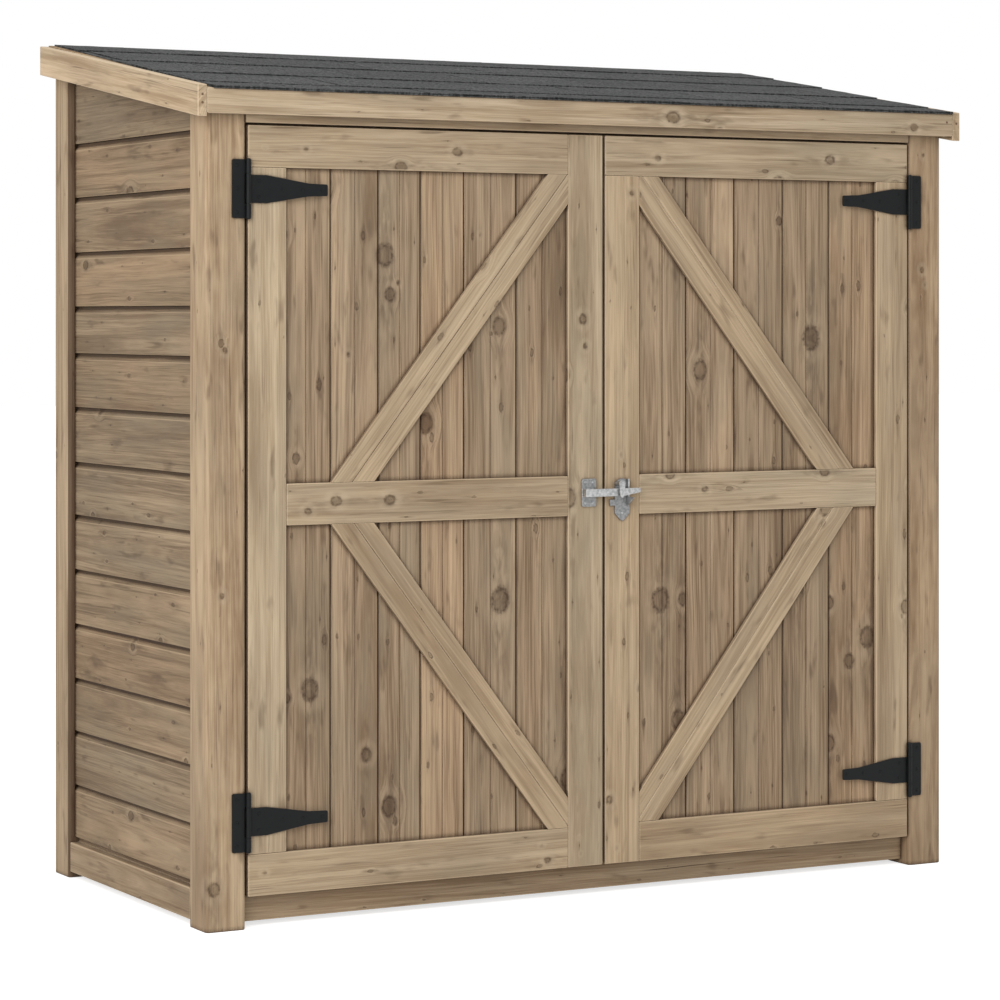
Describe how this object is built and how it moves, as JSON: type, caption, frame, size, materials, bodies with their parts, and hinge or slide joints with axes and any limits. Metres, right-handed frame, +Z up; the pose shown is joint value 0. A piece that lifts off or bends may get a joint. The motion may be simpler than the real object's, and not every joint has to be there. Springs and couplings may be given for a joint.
{
  "type": "wooden garden shed",
  "caption": "Lean-to wooden garden shed with shiplap walls, a felted pent roof and a pair of framed and braced doors on tee hinges with a gate latch.",
  "frame": {"origin": "on the ground, in the middle of the footprint of the four corner posts, under the middle bearer", "axes": "+Z up, +X to the right along the front, +Y from the door side to the back wall"},
  "size_m": [2.048, 0.966, 2.0217],
  "materials": {
    "post_timber": "rough sawn, weathered",
    "wall_boards": "rough sawn, weathered",
    "door_frame": "rough sawn, weathered",
    "door_boards": "rough sawn, weathered",
    "trim_boards": "rough sawn, weathered",
    "inner_timber": "rough sawn, weathered",
    "roofing_felt": "mineral granules",
    "black_iron": "satin black",
    "galvanised_steel": "dull zinc"
  },
  "bodies": {
    "shed": {"post_front_left": "post_timber", "post_front_right": "post_timber", "post_back_left": "post_timber", "post_back_right": "post_timber", "bottom_rail_left": "post_timber", "bottom_rail_right": "post_timber", "bottom_rail_back": "post_timber", "sill_front": "post_timber", "header_front": "post_timber", "wall_left": "wall_boards", "wall_right": "wall_boards", "wall_back": "wall_boards", "fascia_front": "trim_boards", "barge_left": "trim_boards", "barge_right": "trim_boards", "floor": "inner_timber", "floor_bearers": "inner_timber", "door_stops": "inner_timber", "beam_back": "inner_timber", "roof_purlin": "inner_timber", "roof_deck": "inner_timber", "roof_felt": "roofing_felt", "hinge_plates_left": "black_iron", "hinge_plates_right": "black_iron"},
    "left_door": {"left_door_boards": "door_boards", "left_door_top_rail": "door_frame", "left_door_middle_rail": "door_frame", "left_door_bottom_rail": "door_frame", "left_door_hinge_stile": "door_frame", "left_door_meeting_stile": "door_frame", "left_door_braces": "door_frame", "hinge_straps_left": "black_iron", "latch_striker": "galvanised_steel"},
    "right_door": {"right_door_boards": "door_boards", "right_door_top_rail": "door_frame", "right_door_middle_rail": "door_frame", "right_door_bottom_rail": "door_frame", "right_door_hinge_stile": "door_frame", "right_door_meeting_stile": "door_frame", "right_door_braces": "door_frame", "hinge_straps_right": "black_iron", "latch_keeper": "galvanised_steel"},
    "latch_pawl": {"latch_pawl": "galvanised_steel"}
  },
  "joints": [
    {"name": "left_door_hinge", "type": "hinge", "parent": "shed", "child": "left_door", "pos_m": [-0.8915, -0.467, 0.9365], "axis": [0, 0, -1], "range_deg": [0, 170]},
    {"name": "right_door_hinge", "type": "hinge", "parent": "shed", "child": "right_door", "pos_m": [0.8915, -0.467, 0.9365], "axis": [0, 0, 1], "range_deg": [0, 170]},
    {"name": "latch_pawl_pivot", "type": "hinge", "parent": "right_door", "child": "latch_pawl", "pos_m": [0.056, -0.4865, 0.963], "axis": [0, 1, 0], "range_deg": [0, 100]}
  ]
}
